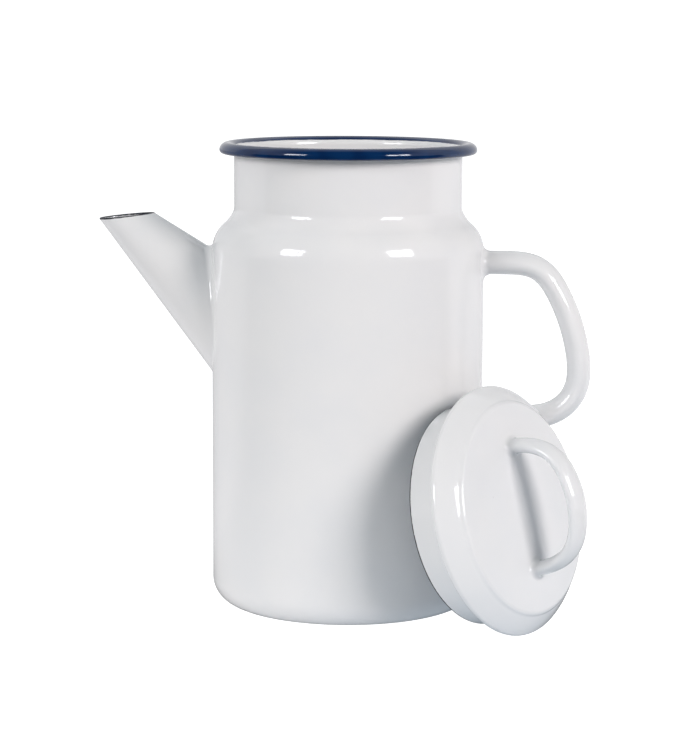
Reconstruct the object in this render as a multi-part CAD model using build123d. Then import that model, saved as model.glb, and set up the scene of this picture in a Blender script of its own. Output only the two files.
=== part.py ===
from build123d import *
import math
import os

# Enamelled steel coffee and tea pot: a tall cylindrical body with a narrowed
# neck and a rolled rim, a straight conical spout, a D-shaped strap handle, and
# a loose plug lid that stands on its brim beside the pot and leans on its wall.
# Millimetres. Origin: centre of the base, +Z up. The handle points along +X and
# the spout along -X, so XZ is the pot's plane of symmetry.

os.makedirs("parts", exist_ok=True)

SHEET = 0.8                   # steel sheet with its enamel
HAIRLINE = 0.01               # gap left between a weld and what it sits on

# ---------------------------------------------------------------- dimensions
# body
BODY_R = 62.0                 # outside radius of the cylindrical wall
BASE_CORNER_R = 11.7          # outside radius between base and wall
SHOULDER_Z = 170.2            # height of the wall / shoulder cone corner
SHOULDER_R = 16.1             # convex shoulder radius
SHOULDER_TILT = math.radians(49.3)  # shoulder's normal above horizontal
NECK_R = 51.86                # outside radius of the neck
NECK_FILLET_R = 11.5          # concave radius between shoulder and neck
NECK_CORNER_Z = SHOULDER_Z + (BODY_R - NECK_R) / math.tan(SHOULDER_TILT)

# rolled rim
RIM_R = 55.85                 # radius of the circle through the bead's centre
RIM_Z = 209.45                # height of the bead's centre
BEAD_R = 2.55                 # outside radius of the rolled bead
CREST_Z = RIM_Z + BEAD_R
ENVELOPE_TOP = RIM_Z - 4      # where the filled body stops, inside the neck

# spout: a cone whose apex and axis lie in the XZ plane
SPOUT_APEX = Vector(-140.65, 0, 209.4)
SPOUT_TILT = math.radians(42.0)     # axis below horizontal, towards the body
SPOUT_HALF_ANGLE = math.radians(10.88)
SPOUT_TIP = Vector(-115.8, 0, 175.8)     # outer lip of the mouth
SPOUT_HEEL = Vector(-91.45, 0, 178.75)   # inner edge of the mouth
SPOUT_LEDGE = 2.0             # wall left standing round the pouring opening
SPOUT_WELD_R = 3.0            # enamelled weld fillet at the root
SPOUT_ROOT = Vector(-60, 0, 134)
SPOUT_ROOT_REACH = 50         # the root's edges lie within this of its centre

# lengths along the spout's axis from the apex: (near end, far end)
SPOUT_SPAN = (25.0, 140.0)
BORE_SPAN = (18.0, 142.0)
OPENING_SPAN = (60.0, 138.0)
SPOUT_WELD_SPAN = (60.0, 140.0)

# pot handle: an oval tube on a planar curve (x, z)
HANDLE_T = 10.7               # thickness in the plane of the curve
HANDLE_W = 14.0               # width across the plane
HANDLE_PATH = [
    (58.0, 158.1), (64.51, 158.12), (71.62, 158.13), (78.71, 157.87),
    (85.58, 156.18), (91.19, 151.91), (95.22, 146.07), (98.43, 139.74),
    (101.11, 133.16), (103.25, 126.39), (104.85, 119.47), (105.81, 112.43),
    (105.66, 105.34), (103.58, 98.58), (99.21, 93.04), (93.13, 89.42),
    (86.23, 87.84), (79.13, 87.7), (72.06, 87.7), (58.0, 87.7),
]
HANDLE_END_DIRS = [(1, 0), (-1, 0)]
HANDLE_WELD_R = 3.6
HANDLE_WELD_REACH = 16

# lid, in its own frame: axis Z up through the lid, Z = 0 through the brim's edge
LID_R = 55.3                  # outside radius of the brim
LID_EDGE_R = 2.18             # radius of the rolled edge
LID_EDGE_CENTRE = LID_R - LID_EDGE_R     # radius of the roll's centre circle
LID_EDGE_END = math.radians(36.3)        # where the edge roll runs into the band
LID_BAND_R = 30.0             # radius of the gently crowned band
LID_BAND_END = math.radians(55.4)  # where the band ends, as its normal's tilt
LID_BAND_X = LID_EDGE_CENTRE - (LID_BAND_R - LID_EDGE_R) * math.cos(LID_EDGE_END)
LID_BAND_Z = -(LID_BAND_R - LID_EDGE_R) * math.sin(LID_EDGE_END)
LID_FOOT_R = 0.9              # concave radius between band and raised top
LID_FOOT_RUN = 0.6            # straight run from the band to the foot's corner
LID_STEP_R = 46.7             # radius of the raised top's edge
LID_STEP_Z = 9.75             # height of the raised top's edge
LID_STEP_ROUND = 1.5          # convex radius on the raised top's edge
LID_TOP_Z = 10.4              # height of the top at its centre
PLUG_R = 48.5                 # outside radius of the plug ring
PLUG_END = -17.4              # free edge of the plug ring
PLUG_TRIM_Z = 9               # top of the plug ring before it is trimmed
PLUG_WELD_LEG = 2.4           # size of the weld bead inside the plug ring
PLUG_WELD_RAISE = 3           # how far the bead runs up before it is trimmed

# lid handle: an oval tube on a planar arch (u, z), u across the lid
LID_HANDLE_T = 6.6
LID_HANDLE_W = 10.2
LID_HANDLE_PATH = [
    (27.6, 7.6), (26.2, 19.6), (22.7, 27.2), (17.4, 32.0), (9.5, 35.0),
    (0.0, 36.2), (-9.5, 35.0), (-17.4, 32.0), (-22.7, 27.2), (-26.2, 19.6),
    (-27.6, 7.6),
]
LID_HANDLE_END_DIRS = [(-0.05, 1), (-0.05, -1)]
LID_WELD_R = 2.2
LID_WELD_REACH = 9
LID_WELD_BLOCK_X = 27         # centre of the blocks cut out round each foot

# the lid's resting place: its outward axis, and how far the axis misses Z
LEAN_AZIMUTH = math.radians(-28.75)
LEAN_RISE = math.radians(13.9)
LEAN_SIDE = -6.65
LEAN_GAP = 0.06               # clearance to the wall
LID_HANDLE_TURN = math.radians(1.0)  # turn of the handle about the lid's axis


# ------------------------------------------------------------------- helpers
def lines(*points):
    """Straight edges through the points in turn."""
    return [Line(start, stop) for start, stop in zip(points, points[1:])]


def line_unless_touching(start, stop):
    return [Line(start, stop)] if (stop - start).length > 1e-6 else []


def rounded(corners):
    """Edges of an open path of corners (x, y, radius), rounded between its ends."""
    points = [Vector(x, y) for x, y, _ in corners]
    edges = []
    here = points[0]
    for i in range(1, len(points) - 1):
        corner, radius = points[i], corners[i][2]
        back = (points[i - 1] - corner).normalized()
        ahead = (points[i + 1] - corner).normalized()
        half_angle = math.acos(max(-1.0, min(1.0, back.dot(ahead)))) / 2
        run = radius / math.tan(half_angle)
        start, stop = corner + back * run, corner + ahead * run
        bisector = (back + ahead).normalized()
        middle = corner + bisector * (radius / math.sin(half_angle) - radius)
        edges += line_unless_touching(here, start)
        edges.append(ThreePointArc(start, middle, stop))
        here = stop
    return edges + line_unless_touching(here, points[-1])


def ring(edges):
    """Solid of revolution about Z of a closed outline drawn as (radius, height)."""
    face = make_face(Curve() + edges)
    return revolve(Plane.XZ * face, Axis.Z, 360)


def largest(shape):
    """The largest solid of a result."""
    return sorted(shape.solids(), key=lambda s: s.volume)[-1]


def oval_bar(path, end_dirs, width, thick, inset=0):
    """Oval bar swept along a curve in the XZ plane, shrunk all round by inset."""
    curve = Plane.XZ * Spline(*path, tangents=end_dirs)
    begin = Plane(
        origin=curve.position_at(0), x_dir=Plane.XZ.z_dir, z_dir=curve.tangent_at(0)
    )
    section = begin * Ellipse(width / 2 - inset, thick / 2 - inset)
    return sweep(section, path=curve)


def edge_picker(centre, reach, on_surface):
    """Test for edges that lie on a surface and within reach of a point."""
    def pick(edge):
        samples = [edge.position_at(k) for k in (0.0, 0.25, 0.5, 0.75)]
        return all(on_surface(p) and (p - centre).length <= reach for p in samples)
    return pick


def weld(base, limb, radius, pick, cutter):
    """Fillet collar where a limb meets a base: the rounded union less both."""
    joined = base + limb
    edges = [e for e in joined.edges() if pick(e)]
    for factor in (1, 0.9, 0.8, 0.7, 0.6):
        # the fillet can fail at full size, so smaller ones are tried in turn
        try:
            return largest(fillet(edges, radius * factor) - joined - cutter)
        except Exception:
            continue
    return None


# ---------------------------------------------------------------------- body
def body_corners(grow):
    """Profile corners from the base's centre to the neck, offset outwards."""
    lift = (grow - grow * math.cos(SHOULDER_TILT)) / math.sin(SHOULDER_TILT)
    return [
        (0, -grow, 0),
        (BODY_R + grow, -grow, BASE_CORNER_R + grow),
        (BODY_R + grow, SHOULDER_Z + lift, SHOULDER_R + grow),
        (NECK_R + grow, NECK_CORNER_Z + lift, NECK_FILLET_R - grow),
    ]


def filled_body(grow):
    """The body's outside as a filled solid, grown outwards."""
    top = ENVELOPE_TOP
    return ring(
        rounded(body_corners(grow) + [(NECK_R + grow, top, 0)])
        + lines((NECK_R + grow, top), (0, top), (0, -grow))
    )


def make_body_shell():
    """Sheet body, its neck flared out to the rim, with the pouring opening."""
    inner_neck = NECK_R - SHEET
    flare_z = CREST_Z - SHEET
    outside = body_corners(0) + [(NECK_R, flare_z, RIM_R - NECK_R), (RIM_R, flare_z, 0)]
    inside = [(RIM_R, CREST_Z, 0), (inner_neck, CREST_Z, RIM_R - inner_neck)]
    inside += body_corners(-SHEET)[::-1]
    shell = ring(
        rounded(outside)
        + lines((RIM_R, flare_z), (RIM_R, CREST_Z))
        + rounded(inside)
        + lines((0, SHEET), (0, 0))
    )
    # the opening follows the spout's bore, a little smaller than the root
    return largest(shell - spout_cone(SHEET + SPOUT_LEDGE, OPENING_SPAN))


def make_rolled_rim():
    """The sheet's edge, curled outwards from the crest, down and back under."""
    def curl(radius):
        reach = radius * math.sqrt(0.5)
        return ThreePointArc(
            (RIM_R, RIM_Z + radius), (RIM_R + reach, RIM_Z - reach), (RIM_R - radius, RIM_Z)
        )

    inner = BEAD_R - SHEET
    return ring(
        [curl(BEAD_R)]
        + lines((RIM_R - BEAD_R, RIM_Z), (RIM_R - inner, RIM_Z))
        + [curl(inner)]
        + lines((RIM_R, RIM_Z + inner), (RIM_R, CREST_Z))
    )


# --------------------------------------------------------------------- spout
def spout_cone(inset, span):
    """The spout's cone over a span of its axis, inset by a wall."""
    near, far = span
    direction = Vector(math.cos(SPOUT_TILT), 0, -math.sin(SPOUT_TILT))
    spread = math.tan(SPOUT_HALF_ANGLE)
    shift = inset / math.cos(SPOUT_HALF_ANGLE)
    plane = Plane(
        origin=SPOUT_APEX + direction * near, x_dir=(0, 1, 0), z_dir=direction
    )
    return plane * Cone(
        near * spread - shift, far * spread - shift, far - near,
        align=(Align.CENTER, Align.CENTER, Align.MIN),
    )


def make_spout(envelope):
    # everything above the mouth's sloping plane is cut away
    slope = (SPOUT_HEEL - SPOUT_TIP).normalized()
    mouth = Plane(
        origin=(SPOUT_TIP + SPOUT_HEEL) * 0.5, x_dir=slope,
        z_dir=Vector(0, 1, 0).cross(-slope),
    )
    above_mouth = mouth * Box(
        120, 120, 60, align=(Align.CENTER, Align.CENTER, Align.MIN)
    )
    outside = spout_cone(0, SPOUT_SPAN) - above_mouth
    return largest((outside - envelope) - spout_cone(SHEET, BORE_SPAN))


# ------------------------------------------------------ welds on the pot wall
def on_wall(point):
    return abs(math.hypot(point.X, point.Y) - BODY_R) <= 1.5


def make_spout_weld(cutter):
    # a plain cylinder serves as the wall: the collar's feather edge passes the
    # start of the shoulder by under 2 mm, where the two are within 0.1 mm
    wall = Pos(0, 0, 130) * Cylinder(BODY_R, 160)
    pick = edge_picker(SPOUT_ROOT, SPOUT_ROOT_REACH, on_wall)
    return weld(wall, spout_cone(0, SPOUT_WELD_SPAN), SPOUT_WELD_R, pick, cutter)


def make_handle_weld(envelope, bar, cutter, joint_z, bar_z, wall_z, wall_height):
    """Collar round one end of the handle, on a block cut from the body."""
    wall = envelope & (Pos(50, 0, wall_z) * Box(50, 70, wall_height))
    end = bar & (Pos(65, 0, bar_z) * Box(24, 40, 30))
    pick = edge_picker(Vector(BODY_R, 0, joint_z), HANDLE_WELD_REACH, on_wall)
    return weld(wall, end, HANDLE_WELD_R, pick, cutter)


# ----------------------------------------------------------------------- lid
def on_edge(angle, inset):
    """Point on the rolled edge's section."""
    radius = LID_EDGE_R - inset
    return (LID_EDGE_CENTRE + radius * math.cos(angle), radius * math.sin(angle))


def on_band(angle, inset):
    """Point on the crowned band's section."""
    radius = LID_BAND_R - inset
    return (LID_BAND_X + radius * math.cos(angle), LID_BAND_Z + radius * math.sin(angle))


def cover_profile(inset, start):
    """Section of the cover from an angle on its edge roll to its centre."""
    foot_x, foot_z = on_band(LID_BAND_END, inset)
    band_stop = (
        foot_x + LID_FOOT_RUN * math.sin(LID_BAND_END),
        foot_z - LID_FOOT_RUN * math.cos(LID_BAND_END),
    )
    edge_stop = on_edge(LID_EDGE_END, inset)
    edge_middle = on_edge((start + LID_EDGE_END) / 2, inset)
    band_middle = on_band((LID_EDGE_END + LID_BAND_END) / 2, inset)
    return [
        ThreePointArc(on_edge(start, inset), edge_middle, edge_stop),
        ThreePointArc(edge_stop, band_middle, band_stop),
    ] + rounded([
        (*band_stop, 0),
        (foot_x, foot_z, LID_FOOT_R + inset),
        (LID_STEP_R - inset * 0.55, LID_STEP_Z - inset, LID_STEP_ROUND - 0.6 * inset),
        (0, LID_TOP_Z - inset, 0),
    ])


def make_lid_cover():
    curl = -math.pi  # the edge rolls under until it faces the lid's axis
    return ring(
        cover_profile(0, curl)
        + lines((0, LID_TOP_Z), (0, LID_TOP_Z - SHEET))
        + cover_profile(SHEET, curl)[::-1]
        + lines(on_edge(curl, SHEET), on_edge(curl, 0))
    )


def filled_lid():
    """Everything under the cover's top, down to the brim's edge."""
    return ring(
        lines((0, 0), on_edge(0, 0))
        + cover_profile(0, 0)
        + lines((0, LID_TOP_Z), (0, 0))
    )


def space_above_underside():
    """Trims the plug ring and its weld to the underside of the cover."""
    return ring(
        lines((0, 30), (60, 30), (60, 0), on_edge(0, SHEET))
        + cover_profile(SHEET, 0)
        + lines((0, LID_TOP_Z - SHEET), (0, 30))
    )


def make_plug_ring(trim):
    inner = PLUG_R - SHEET
    tube = ring(lines(
        (inner, PLUG_END), (PLUG_R, PLUG_END), (PLUG_R, PLUG_TRIM_Z),
        (inner, PLUG_TRIM_Z), (inner, PLUG_END),
    ))
    return largest(tube - trim)


def make_plug_weld(trim):
    """Weld bead inside the plug ring, under the cover."""
    outer = PLUG_R - SHEET
    inner = outer - PLUG_WELD_LEG
    # height at which the ring's inside meets the underside of the band
    meet_z = on_band(math.acos((outer - LID_BAND_X) / (LID_BAND_R - SHEET)), SHEET)[1]
    foot = (outer, meet_z - PLUG_WELD_LEG)
    top = meet_z + PLUG_WELD_RAISE
    inner_foot = (inner, meet_z + 0.2)
    bead = ring(
        lines(foot, (outer, top), (inner, top), inner_foot)
        + [ThreePointArc(inner_foot, (outer - 0.75, meet_z - 0.7), foot)]
    )
    return largest(bead - trim)


def on_lid_top(point):
    return LID_TOP_Z - 2 <= point.Z <= LID_TOP_Z + 0.3


def make_lid_weld(lid_envelope, bar, sign):
    """Collar round the lid handle's foot on the +X (1) or -X (-1) side."""
    x = sign * LID_WELD_BLOCK_X
    disc = lid_envelope & (Pos(x, 0, 8) * Box(30, 34, 16))
    foot = bar & (Pos(x, 0, 12) * Box(26, 26, 14))
    centre = Vector(sign * LID_HANDLE_PATH[0][0], 0, 10)
    pick = edge_picker(centre, LID_WELD_REACH, on_lid_top)
    return weld(disc, foot, LID_WELD_R, pick, Pos(0, 0, HAIRLINE) * disc)


def make_lid():
    """The lid's pieces in its own frame, by name."""
    trim = space_above_underside()
    envelope = filled_lid()
    oval = (LID_HANDLE_PATH, LID_HANDLE_END_DIRS, LID_HANDLE_W, LID_HANDLE_T)
    bar = oval_bar(*oval)
    return {
        "lid_cover": make_lid_cover(),
        "lid_plug_ring": make_plug_ring(trim),
        "lid_plug_weld": make_plug_weld(trim),
        "lid_handle": largest((bar - envelope) - oval_bar(*oval, SHEET)),
        "lid_handle_upper_weld": make_lid_weld(envelope, bar, 1),
        "lid_handle_lower_weld": make_lid_weld(envelope, bar, -1),
    }


# ----------------------------------------------------------- the lid's lean
def leaning_plane():
    """The lid's frame, standing on the floor with its plug ring by the wall."""
    cos_rise, sin_rise = math.cos(LEAN_RISE), math.sin(LEAN_RISE)
    out = Vector(math.cos(LEAN_AZIMUTH), math.sin(LEAN_AZIMUTH), 0)
    side = Vector(-out.Y, out.X, 0)
    axis = Vector(cos_rise * out.X, cos_rise * out.Y, sin_rise)
    up = Vector(-sin_rise * out.X, -sin_rise * out.Y, cos_rise)
    # the brim's edge stands on the floor
    centre_z = LID_EDGE_CENTRE * cos_rise + LID_EDGE_R

    def centre_at(distance):
        return out * distance + side * LEAN_SIDE + Vector(0, 0, centre_z)

    def wall_gap(distance):
        """Gap between the plug ring's free edge and the pot's wall."""
        edge_centre = centre_at(distance) + axis * PLUG_END
        gaps = []
        for i in range(1440):
            angle = math.tau * i / 1440
            spoke = side * math.cos(angle) + up * math.sin(angle)
            point = edge_centre + spoke * PLUG_R
            gaps.append(math.hypot(point.X, point.Y) - BODY_R)
        return min(gaps)

    # halve the range of distances until the gap is the wanted clearance
    low, high = 60.0, 140.0
    while high - low > 1e-5:
        middle = (low + high) / 2
        if wall_gap(middle) < LEAN_GAP:
            low = middle
        else:
            high = middle

    # the handle's chord runs up the lid
    chord = up * math.cos(LID_HANDLE_TURN) + axis.cross(up) * math.sin(LID_HANDLE_TURN)
    return Plane(origin=centre_at(high), x_dir=chord, z_dir=axis)


# -------------------------------------------------------------------- pieces
def make_pot():
    """The pot's pieces, by name."""
    # one trims what is welded to the body, the grown one trims the welds
    envelope = filled_body(0)
    cutter = filled_body(HAIRLINE)
    oval = (HANDLE_PATH, HANDLE_END_DIRS, HANDLE_W, HANDLE_T)
    bar = oval_bar(*oval)
    return {
        "body_shell": make_body_shell(),
        "rolled_rim": make_rolled_rim(),
        "spout": make_spout(envelope),
        "spout_weld": make_spout_weld(cutter),
        "handle": largest((bar - envelope) - oval_bar(*oval, SHEET)),
        "handle_upper_weld": make_handle_weld(
            envelope, bar, cutter, joint_z=158, bar_z=158, wall_z=155, wall_height=60
        ),
        "handle_lower_weld": make_handle_weld(
            envelope, bar, cutter, joint_z=87.7, bar_z=88, wall_z=88, wall_height=50
        ),
    }


parts = make_pot()
lean = leaning_plane().location
for name, piece in make_lid().items():
    parts[name] = lean * piece if piece else None

for name, part in parts.items():
    # a weld whose fillet fails at every radius is left out
    if part is not None:
        part.label = name
        export_step(part, f"parts/{name}.step")
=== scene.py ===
"""An enamelled steel pot with a loose plug lid leaning against it.

The pot stands on z = 0 round the Z axis, its spout towards -X and its handle towards
+X. The lid leans on the wall between +X and -Y; the camera looks along +Y, a little
turned. Every surface shown is a finer skin of a node of the CAD model. Shapes are
worked out in mm, and the stage, lights and camera in metres.
"""
import math
from collections import namedtuple

import bmesh
import bpy
import numpy as np
from mathutils import Matrix, Vector


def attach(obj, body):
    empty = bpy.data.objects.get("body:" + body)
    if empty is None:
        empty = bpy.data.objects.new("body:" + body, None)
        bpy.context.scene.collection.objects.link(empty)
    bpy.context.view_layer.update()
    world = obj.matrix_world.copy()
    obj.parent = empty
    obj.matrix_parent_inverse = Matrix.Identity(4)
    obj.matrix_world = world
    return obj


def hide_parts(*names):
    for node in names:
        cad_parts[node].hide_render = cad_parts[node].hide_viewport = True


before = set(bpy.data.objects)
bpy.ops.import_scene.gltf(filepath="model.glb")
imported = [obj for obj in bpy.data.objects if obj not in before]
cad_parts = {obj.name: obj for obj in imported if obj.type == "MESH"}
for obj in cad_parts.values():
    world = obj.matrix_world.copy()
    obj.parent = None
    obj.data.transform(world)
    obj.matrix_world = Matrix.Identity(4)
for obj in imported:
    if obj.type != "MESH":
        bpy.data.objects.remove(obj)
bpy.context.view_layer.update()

scene = bpy.context.scene
MM = 0.001

# ------------------------------------------------------------- sizes, in mm
SHEET = 0.8  # thickness of the enamelled sheet

# pot body, up to the rolled rim
BODY_R, BASE_CORNER_R = 62.0, 11.7
SHOULDER_Z, SHOULDER_R = 170.2, 16.1
SHOULDER_TILT = math.radians(49.3)  # from the vertical
NECK_R, NECK_FILLET_R = 51.86, 11.5
# the outer neck bends twice: below its corner along the slope, and above it
NECK_LOW_RUN, NECK_LOW_R = 2.47, 14.8
NECK_HIGH_RISE, NECK_HIGH_R = 2.6, 6.0
RIM_R, RIM_Z, BEAD_R = 55.85, 209.45, 2.55
RIM_SWEEP = math.radians(262)
RIM_LEAN = 0.30  # the bead's section leans in at the top, by this share of its height
CREST_R = RIM_R - RIM_LEAN * BEAD_R
CREST_Z = RIM_Z + BEAD_R
POLE_R = 0.6  # the body's profile stops here and is closed by a pole point

# spout: a cone whose apex lies up and out beyond the mouth
APEX = np.array([-140.65, 0.0, 209.4])
SPOUT_TILT, SPOUT_HALF = math.radians(42.0), math.radians(10.88)
SPOUT_TIP = np.array([-115.8, 0.0, 175.8])
SPOUT_HEEL = np.array([-91.45, 0.0, 178.75])
SPOUT_LEDGE, SPOUT_WELD_R = 2.0, 3.0
SPOUT_COLUMNS = 144
LIP_SWELL, LIP_SWELL_FADE = 0.06, 1.3  # enamel gathered at the mouth
SPOUT_CLEAR, SPOUT_BURIED = 55.0, 139.0  # from the apex: outside and inside the pot
CUTTER_START = 66.0

# strap handles: centre lines as (x, z)
HANDLE_T, HANDLE_W, HANDLE_WELD_R = 10.7, 14.0, 3.6
HANDLE_PATH = [
    (58.0, 158.1), (64.51, 158.12), (71.62, 158.13), (78.71, 157.87),
    (85.58, 156.18), (91.19, 151.91), (95.22, 146.07), (98.43, 139.74),
    (101.11, 133.16), (103.25, 126.39), (104.85, 119.47), (105.81, 112.43),
    (105.66, 105.34), (103.58, 98.58), (99.21, 93.04), (93.13, 89.42),
    (86.23, 87.84), (79.13, 87.7), (72.06, 87.7), (58.0, 87.7),
]
LID_HANDLE_T, LID_HANDLE_W, LID_WELD_R = 6.6, 10.2, 2.2
LID_HANDLE_PATH = [
    (27.6, 7.6), (26.2, 19.6), (22.7, 27.2), (17.4, 32.0), (9.5, 35.0),
    (0.0, 36.2), (-9.5, 35.0), (-17.4, 32.0), (-22.7, 27.2), (-26.2, 19.6),
    (-27.6, 7.6),
]
LID_HANDLE_SWELL = 0.20  # share by which it widens half way
STRAP_RIDGE = 0.12  # share by which the oval is drawn in at its two edges

# lid, in its own frame: z along its axis, 0 at the centre of its rolled edge
LID_R, LID_EDGE_R, LID_EDGE_END = 55.3, 2.18, math.radians(36.3)
LID_BAND_R, LID_BAND_END = 30.0, math.radians(55.4)
LID_FOOT_R, LID_FOOT_RUN = 2.9, 0.6  # bend from the band to the crown
LID_STEP_R, LID_STEP_Z, LID_TOP_Z = 46.7, 9.75, 10.4
LID_STEP_BEND_R = 2.2
LID_POLE_R = 0.5
LID_SLOPE = (LID_TOP_Z - LID_STEP_Z) / LID_STEP_R
PLUG_R, PLUG_END = 48.5, -17.4
PLUG_IN_R = PLUG_R - SHEET

# how the lid leans: angles in degrees, then lengths
LEAN_AZIMUTH, LEAN_RISE, LID_HANDLE_TURN = -28.75, 13.9, 1.0
LEAN_SIDE, LEAN_GAP = -6.65, 0.06

ROOT_DEPTH = 0.3  # how far hidden ends and seam undersides go in
FILLET_STEPS = 14
MAX_ARC_STEP = 1.4
SHEET_EDGE_STEPS = 8  # round the raw edges of the rim and the lid cover
LIP_STEPS = 12  # round the edges of the spout's mouth and the plug ring


def unit(vectors):
    return vectors / np.linalg.norm(vectors, axis=-1, keepdims=True)


def blend(start, end, share):
    return start * (1 - share) + end * share


# ----------------------------------------------------------------- profiles
class Profile:
    """A (radius, height) outline, kept as points with tangents."""

    def __init__(self):
        self.points, self.tangents = [], []

    def put(self, point, tangent):
        if self.points and math.dist(self.points[-1], point) < 1e-7:
            return
        self.points.append(tuple(point))
        self.tangents.append(tuple(tangent))

    def line(self, start, end, step):
        start, end = np.array(start, float), np.array(end, float)
        length = np.linalg.norm(end - start)
        if length < 1e-9:
            return
        tangent = (end - start) / length
        count = max(1, math.ceil(length / step))
        for i in range(count + 1):
            self.put(start + (end - start) * i / count, tangent)

    def arc(self, centre, radius, start, end, turn=2.5):
        """Between two angles in radians, either way; turn is the step in degrees."""
        sweep = abs(end - start)
        count = max(2, math.ceil(sweep / math.radians(turn)),
                    math.ceil(sweep * radius / MAX_ARC_STEP))
        way = 1.0 if end > start else -1.0
        for i in range(count + 1):
            angle = start + (end - start) * i / count
            cos, sin = math.cos(angle), math.sin(angle)
            self.put((centre[0] + radius * cos, centre[1] + radius * sin),
                     (-way * sin, way * cos))

    def rounded(self, corners, step=3.0, turn=2.5):
        """Straight runs through (radius, height, bend radius) corners."""
        here = np.array(corners[0][:2], float)
        for i in range(1, len(corners) - 1):
            corner = np.array(corners[i][:2], float)
            radius = corners[i][2]
            back = np.array(corners[i - 1][:2], float) - corner
            ahead = np.array(corners[i + 1][:2], float) - corner
            back /= np.linalg.norm(back)
            ahead /= np.linalg.norm(ahead)
            half = math.acos(max(-1.0, min(1.0, float(back @ ahead)))) / 2
            run = radius / math.tan(half)
            start, stop = corner + back * run, corner + ahead * run
            bisector = back + ahead
            bisector /= np.linalg.norm(bisector)
            centre = corner + bisector * (radius / math.sin(half))
            self.line(here, start, step)
            first = math.atan2(*(start - centre)[::-1])
            last = math.atan2(*(stop - centre)[::-1])
            while last - first > math.pi:
                last -= math.tau
            while last - first < -math.pi:
                last += math.tau
            self.arc(centre, radius, first, last, turn=turn)
            here = stop
        self.line(here, np.array(corners[-1][:2], float), step)

    def arrays(self):
        """Points, and the normals to the right of travel."""
        tangents = np.array(self.tangents)
        return np.array(self.points), np.stack([tangents[:, 1], -tangents[:, 0]], 1)


def revolved(points, normals, count, wobble=None):
    """A profile turned about Z as grids; wobble(angle, height) moves it radially."""
    angles = np.arange(count) * math.tau / count
    cos, sin = np.cos(angles), np.sin(angles)
    heights = points[:, 1:]
    radii = points[:, :1]
    if wobble:
        radii = radii + wobble(angles[None, :], heights)
    grid = np.stack([radii * cos, radii * sin, np.repeat(heights, count, 1)], -1)
    grid_normals = np.stack(
        [normals[:, :1] * cos, normals[:, :1] * sin, np.repeat(normals[:, 1:], count, 1)], -1)
    return grid, grid_normals


# -------------------------------------------------------------- mesh making
pieces = []


def mesh_from_grid(name, points, normals, closed=False, caps=(), raw_edge=None,
                   body=None, node=None):
    """A skin from (rows, columns, 3) grids whose columns run round the piece. A
    closed piece joins its last row to its first; otherwise caps are the (point,
    normal) poles at its two ends."""
    rows, columns = points.shape[:2]
    verts, normals = points.reshape(-1, 3), normals.reshape(-1, 3)
    index = np.arange(rows * columns).reshape(rows, columns)
    this = index if closed else index[:-1]
    following = np.roll(index, -1, 0) if closed else index[1:]
    quads = np.stack(
        [this, np.roll(this, -1, 1), np.roll(following, -1, 1), following], -1).reshape(-1, 4)
    faces = quads.tolist()
    for end, (pole, pole_normal) in enumerate(caps):
        k = len(verts)
        verts = np.vstack([verts, pole])
        normals = np.vstack([normals, pole_normal])
        ring = index[0] if end == 0 else index[-1]
        for j in range(columns):
            here, beside = int(ring[j]), int(ring[(j + 1) % columns])
            faces.append([k, beside, here] if end == 0 else [k, here, beside])
    # one quad tells whether the faces look outwards
    sample = quads[len(quads) // 2 - len(quads) // 7]
    corner, second, third = verts[sample[:3]]
    if np.dot(np.cross(second - corner, third - corner), normals[sample].mean(0)) < 0:
        faces = [face[::-1] for face in faces]
    mesh = bpy.data.meshes.new(name)
    mesh.from_pydata((verts * MM).tolist(), [], faces)
    mesh.update()
    if raw_edge is not None:
        attribute = mesh.attributes.new("raw_edge", "FLOAT", "POINT")
        attribute.data.foreach_set("value", np.asarray(raw_edge, np.float32).reshape(-1))
    mesh.polygons.foreach_set("use_smooth", [True] * len(mesh.polygons))
    mesh.normals_split_custom_set_from_vertices(unit(normals).tolist())
    skin = bpy.data.objects.new(name, mesh)
    scene.collection.objects.link(skin)
    if body:
        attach(skin, body)
        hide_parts(node)
    pieces.append(skin)
    return skin


def bare_share(distance, reach, fade):
    """1 as far as reach from a raw edge, dying away beyond it."""
    return np.exp(-np.maximum(distance - reach, 0) / fade)


# ----------------------------------------------------------------- pot body
def body_profile():
    """From the centre of the base up the outside, over the lip and down the inside."""
    sin, cos, tan = (f(SHOULDER_TILT) for f in (math.sin, math.cos, math.tan))
    neck_z = SHOULDER_Z + (BODY_R - NECK_R) / tan
    inner_body, inner_neck = BODY_R - SHEET, NECK_R - SHEET
    inner_shoulder_z = SHOULDER_Z - (SHEET - SHEET * cos) / sin
    inner_neck_z = inner_shoulder_z + (inner_body - inner_neck) / tan
    profile = Profile()
    profile.rounded([
        (POLE_R, 0, 0),
        (BODY_R, 0, BASE_CORNER_R),
        (BODY_R, SHOULDER_Z, SHOULDER_R),
        (NECK_R + NECK_LOW_RUN * sin, neck_z - NECK_LOW_RUN * cos, NECK_LOW_R),
        (NECK_R, neck_z + NECK_HIGH_RISE, NECK_HIGH_R),
        (NECK_R, CREST_Z - SHEET, CREST_R - NECK_R),
        (CREST_R, CREST_Z - SHEET, 0),
    ])
    profile.arc((CREST_R, CREST_Z - SHEET / 2), SHEET / 2, -math.pi / 2, math.pi / 2, turn=20)
    profile.rounded([
        (CREST_R, CREST_Z, 0),
        (inner_neck, CREST_Z, CREST_R - inner_neck),
        (inner_neck, inner_neck_z, NECK_FILLET_R + SHEET),
        (inner_body, inner_shoulder_z, SHOULDER_R - SHEET),
        (inner_body, SHEET, BASE_CORNER_R - SHEET),
        (POLE_R, SHEET, 0),
    ])
    return profile.arrays()


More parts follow.
